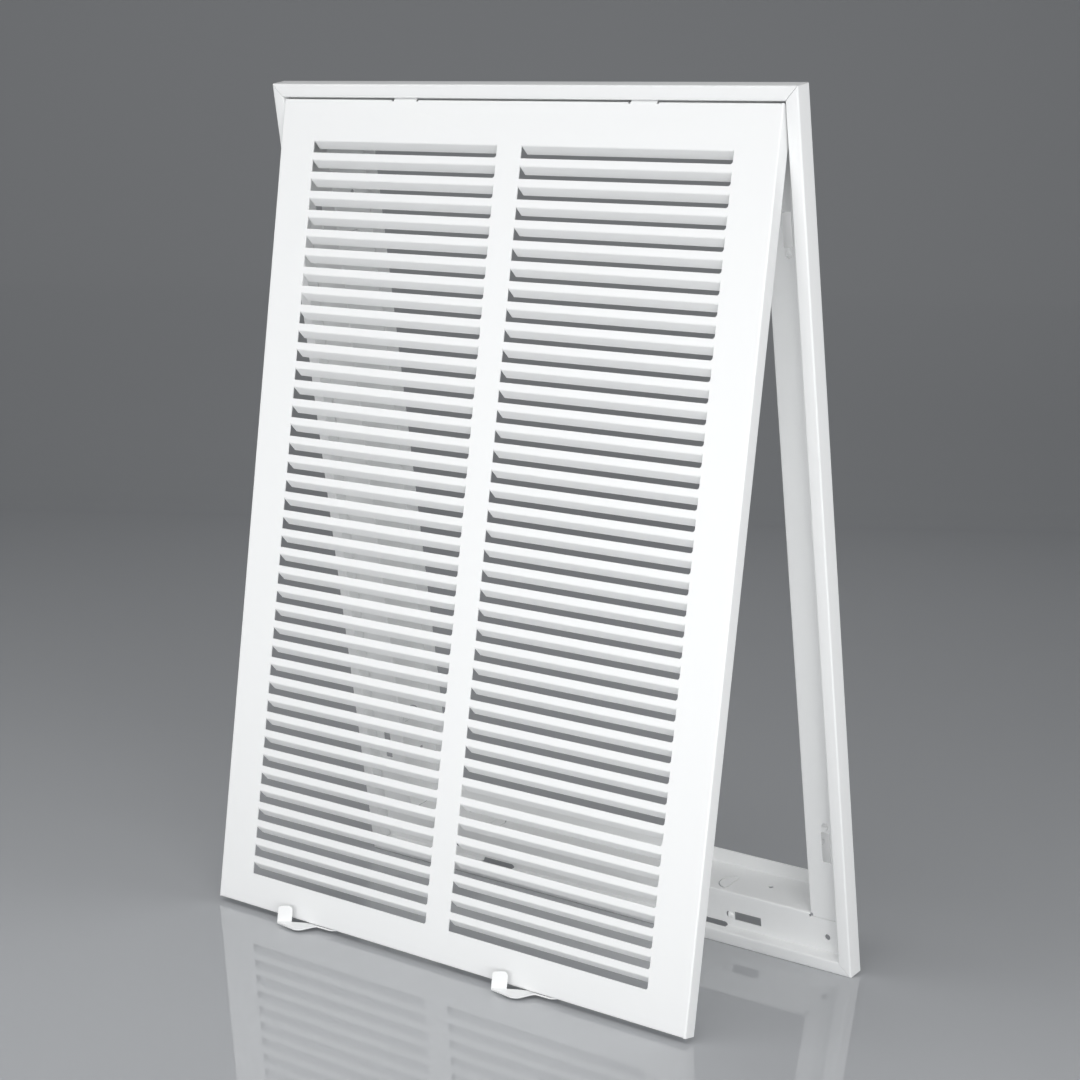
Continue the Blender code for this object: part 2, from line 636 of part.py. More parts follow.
def make_lever(name, centre, parts, cutters, material, hinge):
    """One latch lever: a flat eye and tongue, an arm sloping down and a finger tab."""
    bm = bmesh.new()
    bm.faces.new([bm.verts.new((x, y, 0.0)) for x, y in lever_outline()])
    fold_in, fold_out = finger_fold()
    along = (fold_out - fold_in).normalized()
    away = Vector((along.y, -along.x, 0.0))
    start = Vector((fold_in.x, fold_in.y, 0.0))
    geom = bm.verts[:] + bm.edges[:] + bm.faces[:]
    bmesh.ops.bisect_plane(bm, geom=geom, plane_co=start, plane_no=away)
    geom = bm.verts[:] + bm.edges[:] + bm.faces[:]
    line = Vector((0.0, -LEVER_BEND_LINE, 0.0))
    bmesh.ops.bisect_plane(bm, geom=geom, plane_co=line, plane_no=(0.0, 1.0, 0.0))
    tab = [vert for vert in bm.verts if (vert.co - start).dot(away) > SMALL]
    axis = Vector((along.x, along.y, 0.0))
    up = Matrix.Rotation(math.pi / 2, 3, axis)
    if (up @ away).z < 0.0:
        up = Matrix.Rotation(-math.pi / 2, 3, axis)
    bmesh.ops.rotate(bm, verts=tab, cent=start, matrix=up)
    front = [vert for vert in bm.verts if vert.co.y < -LEVER_BEND_LINE - SMALL]
    slope = Matrix.Rotation(LEVER_SLOPE, 3, "X")
    bmesh.ops.rotate(bm, verts=front, cent=line, matrix=slope)
    bmesh.ops.recalc_face_normals(bm, faces=bm.faces)
    flat = max(bm.faces, key=lambda face: face.calc_center_median().y)
    if flat.normal.z < 0.0:
        bmesh.ops.reverse_faces(bm, faces=bm.faces)
    lever = make_object(name, bm, parts, material, hinge)
    thicken(lever, LEVER_SHEET)
    lever.location = (centre, LATCH_PIVOT_DEPTH - HINGE_AXIS_DEPTH, LEVER_TOP)
    bm = bmesh.new()
    hole = RIVET_RADIUS + RIVET_CLEARANCE
    add_round_cutter(bm, (0.0, 0.0), 0.0, hole)
    make_cutter(name + "_hole", bm, lever, cutters)
    bm = bmesh.new()
    depth = RIVET_FLARE_HEIGHT + 2 * RIVET_CLEARANCE
    mouth = hole + RIVET_FLARE * depth / RIVET_FLARE_HEIGHT
    place = Matrix.Translation((0.0, 0.0, -LEVER_SHEET - RIVET_CLEARANCE + depth / 2))
    bmesh.ops.create_cone(
        bm, cap_ends=True, segments=ROUND_SEGMENTS, radius1=mouth, radius2=hole,
        depth=depth, matrix=place)
    make_cutter(name + "_countersink", bm, lever, cutters)


def make_rivet(name, centre, parts, material, hinge):
    """A latch rivet: a low domed head inside the door and a flared end in the lever."""
    seat = LEVER_GAP + DOOR_SHEET + RIVET_CLEARANCE
    foot = -LEVER_SHEET
    profile = [(0.0, seat + RIVET_HEAD_HEIGHT)]
    for step in range(1, RIVET_HEAD_STEPS + 1):
        turn = math.pi / 2 * step / RIVET_HEAD_STEPS
        height = RIVET_HEAD_HEIGHT * math.cos(turn)
        profile.append((RIVET_HEAD_RADIUS * math.sin(turn), seat + height))
    profile += [
        (RIVET_RADIUS, seat),
        (RIVET_RADIUS, foot + RIVET_FLARE_HEIGHT),
        (RIVET_RADIUS + RIVET_FLARE, foot),
        (0.0, foot),
    ]
    bm = bmesh.new()
    verts = [bm.verts.new((x, 0.0, z)) for x, z in profile]
    for pair in zip(verts, verts[1:]):
        bm.edges.new(pair)
    rivet = make_object(name, bm, parts, material, hinge)
    screw = rivet.modifiers.new("turn", "SCREW")
    screw.steps = ROUND_SEGMENTS
    screw.render_steps = ROUND_SEGMENTS
    screw.use_merge_vertices = True
    screw.merge_threshold = MERGE_DISTANCE
    rivet.location = (centre, LATCH_PIVOT_DEPTH - HINGE_AXIS_DEPTH, LEVER_TOP)
    return rivet


def stand_over_origin(middle, parts):
    """Put the middle of the object's footprint on the origin, with its lowest point at 0."""
    bpy.context.view_layer.update()
    graph = bpy.context.evaluated_depsgraph_get()
    spots = []
    for obj in parts.objects:
        if obj.type == "MESH":
            mesh = obj.evaluated_get(graph).data
            spots += [obj.matrix_world @ vert.co for vert in mesh.vertices]
    depths = [spot.y for spot in spots]
    middle.location.y = -(min(depths) + max(depths)) / 2
    middle.location.z = -min(spot.z for spot in spots)


def main():
    parts, cutters = start_scene()
    enamel = make_material("white_enamel", *FRAME_ENAMEL)
    door_enamel = make_material("door_white_enamel", *DOOR_ENAMEL)
    lever_enamel = make_material("lever_white_enamel", *LEVER_ENAMEL)
    rivet_enamel = make_material("rivet_white_enamel", *RIVET_ENAMEL)
    middle = make_empty("grille_middle", parts, (0.0, 0.0, 0.0), 0.0)
    lean = make_empty("frame_lean", parts, (0.0, 0.0, 0.0), FRAME_LEAN)
    lean.parent = middle
    place = Vector((0.0, HINGE_AXIS_DEPTH, FRAME_HEIGHT - HINGE_AXIS_FROM_TOP))
    place.rotate(Matrix.Rotation(FRAME_LEAN, 3, "X"))
    hinge = make_empty("door_hinge", parts, place, -door_lean())
    hinge.parent = middle
    make_frame(parts, cutters, enamel, lean)
    make_door(parts, cutters, door_enamel, hinge)
    for side, centre in zip(("left", "right"), LATCH_CENTRES):
        make_lever("latch_lever_" + side, centre, parts, cutters, lever_enamel, hinge)
        make_rivet("latch_rivet_" + side, centre, parts, rivet_enamel, hinge)
    stand_over_origin(middle, parts)


if __name__ == "__main__":
    main()
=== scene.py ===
"""Looks of the return air filter grille: finer folded sheets, enamel, a stage and a camera."""
import math

import bmesh
import bpy
from bpy.props import FloatProperty, IntProperty, PointerProperty, StringProperty
from mathutils import Matrix, Vector


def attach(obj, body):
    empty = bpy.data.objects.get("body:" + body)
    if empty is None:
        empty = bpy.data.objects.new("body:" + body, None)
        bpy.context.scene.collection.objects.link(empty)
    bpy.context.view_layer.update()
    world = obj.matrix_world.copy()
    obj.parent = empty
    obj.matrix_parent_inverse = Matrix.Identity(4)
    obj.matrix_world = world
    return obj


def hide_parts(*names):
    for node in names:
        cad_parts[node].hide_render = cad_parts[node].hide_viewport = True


bl_info = {
    "name": "Return air filter grille",
    "version": (1, 0, 0),
    "blender": (4, 5, 0),
    "location": "3D View > Sidebar > Grille",
    "description": "Builds the louvred door, the folded frame, the latches and the stage",
    "category": "Object",
}

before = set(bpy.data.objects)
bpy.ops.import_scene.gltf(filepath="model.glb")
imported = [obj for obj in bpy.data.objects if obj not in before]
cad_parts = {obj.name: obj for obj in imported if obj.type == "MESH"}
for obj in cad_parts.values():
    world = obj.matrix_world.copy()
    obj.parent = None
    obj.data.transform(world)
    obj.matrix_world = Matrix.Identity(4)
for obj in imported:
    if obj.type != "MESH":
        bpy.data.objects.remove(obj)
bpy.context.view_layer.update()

# Where the frame and the door lean, in the shared frame
FRAME_FOOT = Vector((0.0, 0.0731434, -0.000209))
FRAME_LEAN = math.radians(11.2)
HINGE_PLACE = Vector((0.0, -0.0350804, 0.5533119))
DOOR_LEAN = math.radians(-6.39164)
FRAME_MATRIX = Matrix.Translation(FRAME_FOOT) @ Matrix.Rotation(FRAME_LEAN, 4, "X")
DOOR_MATRIX = Matrix.Translation(HINGE_PLACE) @ Matrix.Rotation(DOOR_LEAN, 4, "X")

# Frame section and lengths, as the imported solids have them
FRAME_WIDTH = 0.4223
FRAME_HEIGHT = 0.5747
SHEET = 0.0007
BEND = 0.0004
WALL_DEPTH = 0.0118
RIM_WIDTH = 0.0091
STEP_DEPTH = 0.0097
COLLAR_INSET = 0.035
COLLAR_DEPTH = 0.0445
LIP_WIDTH = 0.0105
SEAM_GAP = 0.0003
LAP_EDGE = 0.033
FOLD_REMNANT = 0.0001

# Holes in the ledge
SCREW_HOLE_RADIUS = 0.0021
SCREW_HOLE_FROM_END = 0.0226
SCREW_HOLE_FROM_EDGE = 0.0199
RELIEF_RADIUS = 0.0010
CLIP_SLOT_FROM_END = 0.0857
CLIP_SLOT_LENGTH = 0.0214
CLIP_SLOT_HEIGHT = 0.0063
CLIP_SLOT_EDGE_LONG = 0.0195
CLIP_SLOT_EDGE_SHORT = 0.0177
LANCE_FROM_END = 0.1008
LANCE_RADIUS = 0.0024

# Holes in the collar wall
COLLAR_HOLE_FROM_END = 0.0784
COLLAR_HOLE_DEPTH = 0.0290
COLLAR_HOLE_RADIUS = 0.0018
COLLAR_TAB_FROM_END = 0.1056
COLLAR_TAB_DEPTH = 0.0223
COLLAR_TAB_RADIUS = 0.0092
COLLAR_TAB_CUT = 0.0009
COLLAR_CREASE_CUT = 0.0005
COLLAR_CREASE_LENGTH = 0.0150

# How far a cutter reaches past an edge, and through a sheet
CUT_MARGIN = 0.0010
CUT_THROUGH = 0.0040

# Raised hoods of the ledge, between each lance and its clip slot
HOOD_LENGTH = 0.0040
HOOD_HEIGHT = 0.0012
HOOD_SHEET = 0.0003

# Door
DOOR_GAP = 0.0010
DOOR_TOP_GAP = 0.0013
DOOR_BOTTOM_GAP = 0.0019
DOOR_WIDTH = FRAME_WIDTH - 2 * (RIM_WIDTH + DOOR_GAP)
DOOR_HEIGHT = FRAME_HEIGHT - 2 * RIM_WIDTH - DOOR_TOP_GAP - DOOR_BOTTOM_GAP
DOOR_FLANGE = 0.0091
DOOR_FOLD_RADIUS = 0.0011
CORNER_STRIP = 0.0006

# Louvres; a blade's free edge is rounded at its lower right corner, as its slit is
LOUVRE_PITCH = 0.0127
FIRST_SLIT_EDGE = 0.0354
SLIT_HEIGHT = 0.0085
SLIT_SIDE_MARGIN = 0.0310
MULLION_WIDTH = 0.0198
BLADE_END_GAP = 0.0003
ROUND_STEPS = 4
ROUND_SHARE = 0.7

# Hinge axis behind and above the door's top edge, and the tabs in the frame's slots
HINGE_AXIS_DEPTH = 0.00135
HINGE_AXIS_DROP = 0.0003
HINGE_TAB_CENTRES = (-0.0915, 0.1010)
HINGE_TAB_WIDTH = 0.0195
HINGE_TAB_GAP = 0.0019
HINGE_TAB_REACH = 0.0056
HINGE_TAB_SETBACK = 0.0010
HINGE_JOG_LENGTH = 0.0017
HINGE_SLOT_FRONT = 0.00078
HINGE_SLOT_BACK = 0.0086

# Latch slots in the frame's bottom side
LATCH_SLOT_CENTRES = (-0.0940, 0.0940)
LATCH_SLOT_LOW = 0.0067
LATCH_SLOT_HIGH = 0.0113
LATCH_SLOT_LENGTH = 0.0290
LATCH_SLOT_FRONT = 0.0068

# Latch levers under the door's bottom flange, drawn round their pivots
LATCH_CENTRES = (("left", -0.0955), ("right", 0.0955))
LATCH_PIVOT_DEPTH = 0.0046
LEVER_SHEET = 0.0010
LEVER_GAP = 0.0003
LEVER_TOP = HINGE_AXIS_DROP - DOOR_HEIGHT - LEVER_GAP
LEVER_EYE_RADIUS = 0.0040
LEVER_EYE_RIGHT = (-95, 50)
LEVER_EYE_LEFT = (120, 165)
LEVER_SHOULDER = -0.0036
LEVER_LEG_LEFT = 0.0182
LEVER_LEG_RIGHT = 0.0100
LEVER_BEND_LINE = 0.0046
LEVER_BEND_STEP = 0.0006
LEVER_CORNER_CENTRE = (-0.0205, -0.0102)
LEVER_CORNER_RADIUS = 0.0070
LEVER_CORNER_TURN = (-100, -26)
TONGUE_LENGTH = 0.0180
TONGUE_HALF_WIDTH = 0.0020
HOOK_LENGTH = 0.0035
HOOK_REACH = 0.0045
FINGER_FOOT = (-0.0382, -0.0144)
FINGER_WIDTH = 0.0100
FINGER_ANGLE = math.radians(31.5)
FINGER_HEIGHT = 0.0110
FINGER_FOLD = 0.0010
FINGER_CORNERS = (0.0035, 0.0015)

# Rivets
RIVET_RADIUS = 0.0016
RIVET_CLEARANCE = 0.0003
RIVET_HEAD_RADIUS = 0.0031
RIVET_HEAD_HEIGHT = 0.0011
RIVET_FLARE = 0.0010
RIVET_FLARE_HEIGHT = 0.0005
RIVET_HOLE_DEPTH = 0.0060

# Flat strips in each round shape
ROUND_SEGMENTS = 40
SLOT_END_SEGMENTS = 10
LANCE_SEGMENTS = 12
COLLAR_TAB_SEGMENTS = 20
HOOD_SEGMENTS = (32, 16)
SLIT_CORNER_SEGMENTS = 5
EYE_RIGHT_SEGMENTS = 12
EYE_LEFT_SEGMENTS = 6
LEVER_CORNER_SEGMENTS = 12
FINGER_CORNER_SEGMENTS = 6
RIVET_DOME_SEGMENTS = 8
CUT_EDGE_SEGMENTS = 2

# Edges that turn by more than this are cut edges, and folds turn by less
CUT_EDGE_ANGLE = math.radians(40)

# Two places nearer than this are the same
NEAR = 1e-6

# Orange peel of the enamel: 650 noise cells a metre are about 1.5 mm each, 0.04 mm high
PEEL_PER_METRE = 650.0
PEEL_DETAIL = 2.0
PEEL_ROUGHNESS = 0.5
PEEL_STRENGTH = 0.12
PEEL_HEIGHT = 0.00004

# Thickness of the enamel: 28 noise cells a metre are about 36 mm each
FILM_PER_METRE = 28.0
FILM_DETAIL = 3.0
FILM_LOW = 0.3
FILM_HIGH = 0.7
FILM_GLOSS_CHANGE = 0.006

# Gloss of the enamel: the latches shine a little more than the door, and it more than the frame
ENAMEL_IOR = 1.5
DOOR_ROUGHNESS = 0.28
FRAME_ROUGHNESS = 0.30
LATCH_ROUGHNESS = 0.27

# Floor and backdrop, square to the camera
FLOOR_FRONT = -3.0
FLOOR_BACK = 3.0
FLOOR_WIDTH = 10.0
FLOOR_TURN = 0.695
FLOOR_ROUGHNESS = 0.035
FLOOR_IOR = 1.5
BACKDROP_HEIGHT = 3.5
BACKDROP_CURVE = 1.2
BACKDROP_STEPS = 24

# Lamps: name, place, the point it faces, width and height, and spread in degrees. Their powers
# are in GrilleLooks, and only the mirrored one shows in gloss
LAMPS = (
    ("front", (-0.4, -2.6, 0.5), (0.0, 0.0, 0.28), (3.0, 0.8), 180),
    ("low", (0.5, -0.95, 0.16), (0.25, 0.0, 0.30), (3.0, 0.30), 100),
    ("side", (3.1, -2.0, 0.60), (0.1, 0.0, 0.12), (1.8, 1.2), 60),
    ("floor", (0.2, -0.75, 1.2), (0.2, -0.6, 0.0), (2.4, 0.8), 180),
    ("right", (1.1, 0.15, 0.55), (0.4, 0.05, 0.0), (0.8, 0.8), 180),
    ("back", (-1.2, 2.0, 1.4), (0.0, 0.0, 0.30), (2.0, 1.4), 100),
)
MIRRORED_LAMP = "front"
ROOM_COLOUR = (0.97, 0.985, 1.0, 1.0)

# Camera, from the fit to the photograph; the angles are in radians
CAMERA_PLACE = (0.97878, -1.22157, 0.53049)
CAMERA_YAW = 0.69528
CAMERA_PITCH = 0.20040
CAMERA_ROLL = 0.02176
CAMERA_LENS = 80.017
CAMERA_SENSOR = 36.0
CAMERA_SHIFT = (0.04665, 0.07953)


class GrilleSizes(bpy.types.PropertyGroup):
    """Sizes that shape the sheet metal."""

    louvres: IntProperty(name="Louvres", description="Louvres in each column", default=40)
    fold_steps: IntProperty(name="Fold steps", description="Flat strips in one fold", default=6)
    blade_lean: FloatProperty(
        name="Blade lean", description="Angle between a blade and the door's face",
        default=math.radians(53.0), subtype="ANGLE")
    blade_fold: FloatProperty(
        name="Blade fold", description="Radius of the fold over a blade",
        default=0.0016, unit="LENGTH")
    lever_slope: FloatProperty(
        name="Lever slope", description="Slope of a latch lever's arm",
        default=math.radians(13.5), subtype="ANGLE")
    slit_corner: FloatProperty(
        name="Slit corner", description="Round of a slit's lower right corner",
        default=0.0019, unit="LENGTH")
    cut_edge: FloatProperty(
        name="Cut edge", description="Rounding of the enamel on cut edges",
        default=0.00012, unit="LENGTH")


class GrilleLooks(bpy.types.PropertyGroup):
    """Colours and light."""

    enamel: StringProperty(
        name="Enamel", description="Colour of the baked enamel, as a hex value",
        default="F2F3F3")
    floor: StringProperty(
        name="Floor", description="Colour of the floor and the backdrop, as a hex value",
        default="B9BBBE")
    front_power: FloatProperty(
        name="Front lamp", description="Power of the wide lamp in front at half height",
        default=2.5, unit="POWER")
    low_power: FloatProperty(
        name="Low lamp", description="Power of the wide lamp that lies low in front",
        default=4.2, unit="POWER")
    side_power: FloatProperty(
        name="Side lamp", description="Power of the large lamp at the camera's right",
        default=4.7, unit="POWER")
    floor_power: FloatProperty(
        name="Floor lamp", description="Power of the lamp that lights the floor in front",
        default=10.0, unit="POWER")
    right_power: FloatProperty(
        name="Right lamp", description="Power of the lamp that lights the floor at the right",
        default=2.0, unit="POWER")
    back_power: FloatProperty(
        name="Back lamp", description="Power of the lamp that lights the frame's back",
        default=3.5, unit="POWER")
    world_strength: FloatProperty(
        name="Room light", description="Strength of the even room light", default=0.20)


def linear(hex_colour):
    """An sRGB hex colour as linear red, green and blue, by the standard curve."""
    channels = []
    for start in (0, 2, 4):
        value = int(hex_colour[start:start + 2], 16) / 255
        channels.append(value / 12.92 if value <= 0.04045 else ((value + 0.055) / 1.055) ** 2.4)
    return tuple(channels)


def add_node(tree, kind, settings=None, values=None, links=None):
    """Add a node with its settings, socket values and incoming links."""
    node = tree.nodes.new(kind)
    for name, value in (settings or {}).items():
        setattr(node, name, value)
    for name, value in (values or {}).items():
        node.inputs[name].default_value = value
    for name, socket in (links or {}).items():
        tree.links.new(socket, node.inputs[name])
    return node


def new_material(name):
    """A material with an empty node tree and its output."""
    material = bpy.data.materials.new(name)
    material.use_nodes = True
    material.node_tree.nodes.clear()
    output = material.node_tree.nodes.new("ShaderNodeOutputMaterial")
    return material, material.node_tree, output


def enamel_material(name, colour, roughness):
    """Powder enamel, sprayed on steel and baked: an even satin white with a faint orange peel."""
    material, tree, output = new_material(name)
    place = add_node(tree, "ShaderNodeTexCoord").outputs["Object"]
    # Sprayed powder flows out to shallow waves, which soften the edges of what it mirrors
    peel = add_node(
        tree, "ShaderNodeTexNoise",
        values={"Scale": PEEL_PER_METRE, "Detail": PEEL_DETAIL, "Roughness": PEEL_ROUGHNESS},
        links={"Vector": place})
    bump = add_node(
        tree, "ShaderNodeBump", values={"Strength": PEEL_STRENGTH, "Distance": PEEL_HEIGHT},
        links={"Height": peel.outputs["Fac"]})
    # The film is thicker in some places, which shows as a slow change of gloss
    film = add_node(
        tree, "ShaderNodeTexNoise", values={"Scale": FILM_PER_METRE, "Detail": FILM_DETAIL},
        links={"Vector": place})
    gloss = add_node(
        tree, "ShaderNodeMapRange",
        values={
            "From Min": FILM_LOW, "From Max": FILM_HIGH,
            "To Min": roughness - FILM_GLOSS_CHANGE, "To Max": roughness + FILM_GLOSS_CHANGE},
        links={"Value": film.outputs["Fac"]})
    shader = add_node(
        tree, "ShaderNodeBsdfPrincipled",
        values={"Base Color": (*colour, 1.0), "IOR": ENAMEL_IOR, "Metallic": 0.0},
        links={"Roughness": gloss.outputs["Result"], "Normal": bump.outputs["Normal"]})
    tree.links.new(shader.outputs["BSDF"], output.inputs["Surface"])
    return material


def paint(obj, material):
    """Give an object its one material and smooth shading."""
    obj.data.materials.clear()
    obj.data.materials.append(material)
    for polygon in obj.data.polygons:
        polygon.use_smooth = True


def finish_piece(obj, body, replaced, material, cut_edge):
    """Give a piece its enamel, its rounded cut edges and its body."""
    paint(obj, material)
    if cut_edge:
        bevel = obj.modifiers.new("cut edges", "BEVEL")
        bevel.width = cut_edge
        bevel.segments = CUT_EDGE_SEGMENTS
        bevel.limit_method = "ANGLE"
        bevel.angle_limit = CUT_EDGE_ANGLE
        bevel.harden_normals = True
    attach(obj, body)
    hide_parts(replaced)


def open_sheet(name, bm):
    """A plain object for a sheet that isn't finished yet."""
    mesh = bpy.data.meshes.new(name)
    bm.to_mesh(mesh)
    bm.free()
    obj = bpy.data.objects.new(name, mesh)
    bpy.context.scene.collection.objects.link(obj)
    return obj


def apply_modifiers(obj):
    """Keep what the modifiers make and remove them."""
    graph = bpy.context.evaluated_depsgraph_get()
    made = bpy.data.meshes.new_from_object(obj.evaluated_get(graph))
    old = obj.data
    obj.modifiers.clear()
    obj.data = made
    bpy.data.meshes.remove(old)


def thicken(obj, thickness):
    """Give a sheet its thickness behind its visible side."""
    solidify = obj.modifiers.new("thickness", "SOLIDIFY")
    solidify.thickness = thickness
    solidify.offset = -1.0
    solidify.use_even_offset = True
    apply_modifiers(obj)


def subtract(obj, bm):
    """Cut the shapes of a bmesh out of an object."""
    bmesh.ops.recalc_face_normals(bm, faces=bm.faces)
    cutter = open_sheet("cutter", bm)
    boolean = obj.modifiers.new("holes", "BOOLEAN")
    boolean.operation = "DIFFERENCE"
    boolean.solver = "EXACT"
    boolean.object = cutter
    apply_modifiers(obj)
    bpy.data.objects.remove(cutter, do_unlink=True)


def moved_verts(geom):
    """The vertices in what an extrude returned."""
    return [item for item in geom if isinstance(item, bmesh.types.BMVert)]


def add_prism(bm, outline, front, back):
    """A closed prism: an outline in the X-Z plane, drawn from one Y to another."""
    face = bm.faces.new([bm.verts.new((x, front, z)) for x, z in outline])
    geom = bmesh.ops.extrude_face_region(bm, geom=[face])["geom"]
    bmesh.ops.translate(bm, verts=moved_verts(geom), vec=(0.0, back - front, 0.0))


def arc(centre, radius, start, end, segments):
    """Points along a circular arc; the angles are in degrees."""
    points = []
    for step in range(segments + 1):
        angle = math.radians(start + (end - start) * step / segments)
        x = centre[0] + radius * math.cos(angle)
        points.append((x, centre[1] + radius * math.sin(angle)))
    return points


def circle(centre, radius):
    """A round outline."""
    return arc(centre, radius, 0, 360, ROUND_SEGMENTS)[:-1]


def rectangle(x_low, x_high, z_low, z_high):
    """A rectangular outline."""
    return [(x_low, z_low), (x_high, z_low), (x_high, z_high), (x_low, z_high)]


def stadium(x, z_low, z_high, length):
    """An outline with two straight sides and round ends."""
    radius = (z_high - z_low) / 2
    middle = (z_low + z_high) / 2
    half = length / 2 - radius
    right = arc((x + half, middle), radius, -90, 90, SLOT_END_SEGMENTS)
    left = arc((x - half, middle), radius, 90, 270, SLOT_END_SEGMENTS)
    return right + left


def rounded_path(corners, radii, segments):
    """A polyline with its inner corners replaced by arcs."""
    points = [corners[0]]
    for before, corner, after, radius in zip(corners, corners[1:], corners[2:], radii):
        into = (Vector(before) - Vector(corner)).normalized()
        out = (Vector(after) - Vector(corner)).normalized()
        centre = Vector(corner) + (into + out) * radius
        for step in range(segments + 1):
            turn = math.pi / 2 * step / segments
            spot = centre - out * radius * math.cos(turn) - into * radius * math.sin(turn)
            points.append(tuple(spot))
    points.append(corners[-1])
    return points


def member_profile(segments):
    """Visible side of the folded frame section: distance inward and depth behind the face."""
    outer = BEND + SHEET
    corners = [
        (0.0, WALL_DEPTH), (0.0, 0.0), (RIM_WIDTH, 0.0), (RIM_WIDTH, STEP_DEPTH),
        (COLLAR_INSET, STEP_DEPTH), (COLLAR_INSET, COLLAR_DEPTH),
        (COLLAR_INSET + LIP_WIDTH, COLLAR_DEPTH)]
    return rounded_path(corners, (outer, outer, BEND, outer, BEND), segments)


def corner_outline(start, length, end):
    """What is cut from a member's end so that the collar's corners are mitred."""
    mitre = SEAM_GAP / math.sqrt(2)
    past = COLLAR_INSET + LIP_WIDTH + CUT_MARGIN
    points = [(-CUT_MARGIN, start)]
    if length:
        wall = COLLAR_INSET - 2 * (SHEET + BEND)
        points += [(length, start), (length, wall), (COLLAR_INSET + mitre, wall)]
    else:
        points += [(COLLAR_INSET + mitre, start)]
    points += [(COLLAR_INSET + mitre, COLLAR_INSET), (past + mitre, past), (-CUT_MARGIN, past)]
    return [(end - math.copysign(s, end), a) for s, a in points]


def member_cutters(length, long_member):
    """The notches and holes of one frame side, in two sets that don't overlap."""
    bm = bmesh.new()
    relief = bmesh.new()
    front = STEP_DEPTH - 2 * BEND
    back = COLLAR_DEPTH + CUT_THROUGH
    through = STEP_DEPTH + CUT_THROUGH
    slot_edge = CLIP_SLOT_EDGE_LONG if long_member else CLIP_SLOT_EDGE_SHORT
    for end in (-length / 2, length / 2):
        side = math.copysign(1.0, end)
        if long_member:
            outline = corner_outline(RIM_WIDTH + FOLD_REMNANT, LAP_EDGE + SEAM_GAP / 2, end)
        else:
            outline = corner_outline(LAP_EDGE - SEAM_GAP / 2, 0.0, end)
            hole = (end - side * SCREW_HOLE_FROM_END, SCREW_HOLE_FROM_EDGE)
            add_prism(bm, circle(hole, SCREW_HOLE_RADIUS), front, through)
            corner = (end - side * (COLLAR_INSET + SEAM_GAP), LAP_EDGE)
            add_prism(relief, circle(corner, RELIEF_RADIUS), front, through)
        add_prism(bm, outline, front, back)
        slot = end - side * CLIP_SLOT_FROM_END
        half = CLIP_SLOT_LENGTH / 2
        low = slot_edge - CLIP_SLOT_HEIGHT / 2
        box = rectangle(slot - half, slot + half, low, low + CLIP_SLOT_HEIGHT)
        add_prism(bm, box, front, through)
        away = 90 if side > 0 else -90
        lance = (end - side * LANCE_FROM_END, slot_edge)
        half_round = arc(lance, LANCE_RADIUS, away, away + 180, LANCE_SEGMENTS)
        add_prism(bm, half_round, front, through)
    return bm, relief


def collar_cutters(length):
    """A round hole and a half-round lanced tab near each end of a collar wall."""
    bm = bmesh.new()
    for end in (-length / 2, length / 2):
        side = math.copysign(1.0, end)
        hole = (end - side * COLLAR_HOLE_FROM_END, COLLAR_HOLE_DEPTH)
        start = 90 if side > 0 else -90
        tab = (end - side * COLLAR_TAB_FROM_END, COLLAR_TAB_DEPTH)
        turn = (start, start + 180, COLLAR_TAB_SEGMENTS)
        outer = arc(tab, COLLAR_TAB_RADIUS, *turn)
        inner = arc(tab, COLLAR_TAB_RADIUS - COLLAR_TAB_CUT, *turn)
        x = tab[0] + side * COLLAR_TAB_CUT
        across = (x - COLLAR_CREASE_CUT / 2, x + COLLAR_CREASE_CUT / 2)
        half = COLLAR_CREASE_LENGTH / 2
        crease = rectangle(*across, COLLAR_TAB_DEPTH - half, COLLAR_TAB_DEPTH + half)
        for outline in (circle(hole, COLLAR_HOLE_RADIUS), outer + inner[::-1], crease):
            add_prism(bm, outline, -COLLAR_INSET - CUT_MARGIN, CUT_MARGIN + SHEET - COLLAR_INSET)
    turn = Matrix.Rotation(-math.pi / 2, 3, "X")
    bmesh.ops.rotate(bm, verts=bm.verts, cent=(0.0, 0.0, 0.0), matrix=turn)
    return bm


def add_hoods(member, length, slot_edge):
    """Raise a half-round hood beside each clip slot, open towards the member's middle."""
    bm = bmesh.new()
    for end in (-length / 2, length / 2):
        side = math.copysign(1.0, end)
        mouth = Vector((end - side * LANCE_FROM_END, STEP_DEPTH, slot_edge))
        stretch = Matrix.Diagonal((HOOD_LENGTH, HOOD_HEIGHT, LANCE_RADIUS, 1.0))
        dome = bmesh.ops.create_uvsphere(
            bm, u_segments=HOOD_SEGMENTS[0], v_segments=HOOD_SEGMENTS[1], radius=1.0,
            matrix=Matrix.Translation(mouth) @ stretch)["verts"]
        for normal in ((0.0, 1.0, 0.0), (-side, 0.0, 0.0)):
            dome = [vert for vert in dome if vert.is_valid]
            edges = {edge for vert in dome for edge in vert.link_edges}
            faces = {face for vert in dome for face in vert.link_faces}
            cut = bmesh.ops.bisect_plane(
                bm, geom=dome + list(edges) + list(faces), plane_co=mouth, plane_no=normal,
                clear_outer=True)
            dome = list(set(dome) | set(moved_verts(cut["geom"])))
    bmesh.ops.recalc_face_normals(bm, faces=bm.faces)
    bmesh.ops.solidify(bm, geom=bm.faces[:], thickness=HOOD_SHEET)
    bmesh.ops.recalc_face_normals(bm, faces=bm.faces)
    bm.from_mesh(member.data)
    bm.to_mesh(member.data)
    bm.free()


